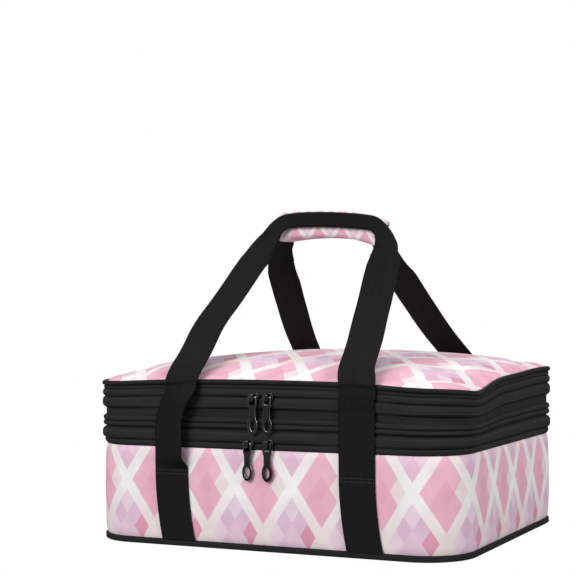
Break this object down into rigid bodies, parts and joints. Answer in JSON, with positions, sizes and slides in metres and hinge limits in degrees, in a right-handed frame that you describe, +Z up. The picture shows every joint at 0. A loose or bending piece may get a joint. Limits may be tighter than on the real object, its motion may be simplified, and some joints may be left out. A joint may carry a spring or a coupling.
{
  "type": "casserole carrier",
  "caption": "Soft insulated carrier for hot dishes, with a zipped lid, a zipped lower compartment, an expanding upper tier and webbing handles gathered in a padded grip.",
  "frame": {"origin": "middle of the underside, on the surface it stands on", "axes": "+X to the right along the long side, +Y to the rear where the lid is hinged, +Z up"},
  "size_m": [0.4188, 0.3518, 0.3475],
  "materials": {
    "printed_fabric": "woven polyester with a printed argyle in pink, lilac and cream",
    "black_fabric": "black woven cloth and grosgrain binding",
    "webbing": "black polypropylene webbing with lengthwise ribs",
    "zip_tape": "black twill zip tape",
    "zip_coil": "black nylon coil",
    "lining": "silver foil lining with a soft sheen",
    "zip_metal": "glossy gunmetal black",
    "board": "plain stiffener board"
  },
  "bodies": {
    "lower_body": {"base_panel": "black_fabric", "base_board": "board", "base_binding": "black_fabric", "lower_wall": "printed_fabric", "lower_lining": "lining", "lower_zip_tape_bottom": "zip_tape", "lower_zip_coil_bottom": "zip_coil", "front_left_strap_sewn": "webbing", "front_right_strap_sewn": "webbing", "rear_left_strap_sewn": "webbing", "rear_right_strap_sewn": "webbing"},
    "tier": {"lower_zip_tape_top": "zip_tape", "lower_zip_coil_top": "zip_coil", "tier_band": "black_fabric", "tier_floor": "lining", "expander_zip_tape_bottom": "zip_tape", "expander_zip_coil_bottom": "zip_coil", "gusset": "printed_fabric", "tier_hinge_tape": "black_fabric"},
    "upper_ring": {"expander_zip_tape_top": "zip_tape", "expander_zip_coil_top": "zip_coil", "upper_band": "black_fabric", "upper_lining": "lining", "lid_zip_tape_bottom": "zip_tape", "lid_zip_coil_bottom": "zip_coil"},
    "lid": {"lid_zip_tape_top": "zip_tape", "lid_zip_coil_top": "zip_coil", "lid_band": "black_fabric", "lid_piping": "black_fabric", "lid_panel": "printed_fabric", "lid_lining": "lining", "lid_hinge_tape": "black_fabric"},
    "front_riser": {"front_left_strap_riser": "webbing", "front_right_strap_riser": "webbing"},
    "front_lift": {"front_left_strap_lift": "webbing", "front_right_strap_lift": "webbing"},
    "front_handle": {"front_handle_webbing": "webbing", "grip_wrap": "printed_fabric", "grip_hook_tape": "zip_tape", "grip_loop_tape": "zip_tape"},
    "rear_riser": {"rear_left_strap_riser": "webbing", "rear_right_strap_riser": "webbing"},
    "rear_lift": {"rear_left_strap_lift": "webbing", "rear_right_strap_lift": "webbing"},
    "rear_handle": {"rear_handle_webbing": "webbing"},
    "upper_left_slider": {"upper_left_slider": "zip_metal"},
    "upper_left_pull": {"upper_left_pull": "zip_metal"},
    "upper_right_slider": {"upper_right_slider": "zip_metal"},
    "upper_right_pull": {"upper_right_pull": "zip_metal"},
    "lower_left_slider": {"lower_left_slider": "zip_metal"},
    "lower_left_pull": {"lower_left_pull": "zip_metal"},
    "lower_right_slider": {"lower_right_slider": "zip_metal"},
    "lower_right_pull": {"lower_right_pull": "zip_metal"},
    "expander_slider": {"expander_slider": "zip_metal"},
    "expander_pull": {"expander_pull": "zip_metal"}
  },
  "joints": [
    {"name": "tier_open", "type": "hinge", "parent": "lower_body", "child": "tier", "pos_m": [0, 0.17, 0.10645], "axis": [-1, 0, 0], "range_deg": [0, 60], "deforming": ["tier_hinge_tape"]},
    {"name": "expand", "type": "slide", "parent": "tier", "child": "upper_ring", "axis": [0, 0, 1], "range_m": [0, 0.048], "deforming": ["gusset"]},
    {"name": "lid_open", "type": "hinge", "parent": "upper_ring", "child": "lid", "pos_m": [0, 0.17, 0.15265], "axis": [-1, 0, 0], "range_deg": [0, 95], "deforming": ["lid_hinge_tape"]},
    {"name": "front_riser_lean", "type": "hinge", "parent": "lower_body", "child": "front_riser", "pos_m": [0, -0.1713, 0.079], "axis": [1, 0, 0], "range_deg": [0, 46], "deforming": ["front_left_strap_riser", "front_right_strap_riser"]},
    {"name": "front_lift_rise", "type": "slide", "parent": "front_riser", "child": "front_lift", "axis": [0, 0, 1], "range_m": [0, 0.049], "deforming": ["front_left_strap_lift", "front_right_strap_lift"]},
    {"name": "front_handle_drop", "type": "hinge", "parent": "front_lift", "child": "front_handle", "pos_m": [0, -0.1713, 0.15265], "axis": [1, 0, 0], "range_deg": [0, 105], "deforming": ["front_handle_webbing"]},
    {"name": "rear_riser_lean", "type": "hinge", "parent": "lower_body", "child": "rear_riser", "pos_m": [0, 0.1713, 0.079], "axis": [-1, 0, 0], "range_deg": [0, 61], "deforming": ["rear_left_strap_riser", "rear_right_strap_riser"]},
    {"name": "rear_lift_rise", "type": "slide", "parent": "rear_riser", "child": "rear_lift", "axis": [0, 0, 1], "range_m": [0, 0.049], "deforming": ["rear_left_strap_lift", "rear_right_strap_lift"]},
    {"name": "rear_handle_drop", "type": "hinge", "parent": "rear_lift", "child": "rear_handle", "pos_m": [0, 0.1713, 0.15265], "axis": [-1, 0, 0], "range_deg": [0, 105], "deforming": ["rear_handle_webbing"]},
    {"name": "upper_left_slide", "type": "slide", "parent": "upper_ring", "child": "upper_left_slider", "axis": [-1, 0, 0], "range_m": [0, 0.066]},
    {"name": "upper_left_pull_flip", "type": "hinge", "parent": "upper_left_slider", "child": "upper_left_pull", "pos_m": [-0.008, -0.1744, 0.15265], "axis": [-1, 0, 0], "range_deg": [0, 165]},
    {"name": "upper_right_slide", "type": "slide", "parent": "upper_ring", "child": "upper_right_slider", "axis": [1, 0, 0], "range_m": [0, 0.066]},
    {"name": "upper_right_pull_flip", "type": "hinge", "parent": "upper_right_slider", "child": "upper_right_pull", "pos_m": [0.008, -0.1744, 0.15265], "axis": [-1, 0, 0], "range_deg": [0, 165]},
    {"name": "lower_left_slide", "type": "slide", "parent": "lower_body", "child": "lower_left_slider", "axis": [-1, 0, 0], "range_m": [0, 0.06]},
    {"name": "lower_left_pull_flip", "type": "hinge", "parent": "lower_left_slider", "child": "lower_left_pull", "pos_m": [-0.014, -0.1744, 0.10645], "axis": [-1, 0, 0], "range_deg": [0, 165]},
    {"name": "lower_right_slide", "type": "slide", "parent": "lower_body", "child": "lower_right_slider", "axis": [1, 0, 0], "range_m": [0, 0.066]},
    {"name": "lower_right_pull_flip", "type": "hinge", "parent": "lower_right_slider", "child": "lower_right_pull", "pos_m": [0.008, -0.1744, 0.10645], "axis": [-1, 0, 0], "range_deg": [0, 165]},
    {"name": "expander_slide", "type": "slide", "parent": "tier", "child": "expander_slider", "axis": [0, -1, 0], "range_m": [0, 0.1]},
    {"name": "expander_pull_flip", "type": "hinge", "parent": "expander_slider", "child": "expander_pull", "pos_m": [-0.2094, 0.06, 0.12605], "axis": [0, 1, 0], "range_deg": [0, 165]}
  ],
  "couplings": [
    {"joint": "front_riser_lean", "follows": "tier_open", "ratio": 0.75},
    {"joint": "rear_riser_lean", "follows": "tier_open", "ratio": 1},
    {"joint": "front_lift_rise", "follows": "expand", "ratio": 1},
    {"joint": "rear_lift_rise", "follows": "expand", "ratio": 1},
    {"joint": "front_handle_drop", "follows": "lid_open", "ratio": 1.1},
    {"joint": "rear_handle_drop", "follows": "lid_open", "ratio": 1.1}
  ]
}
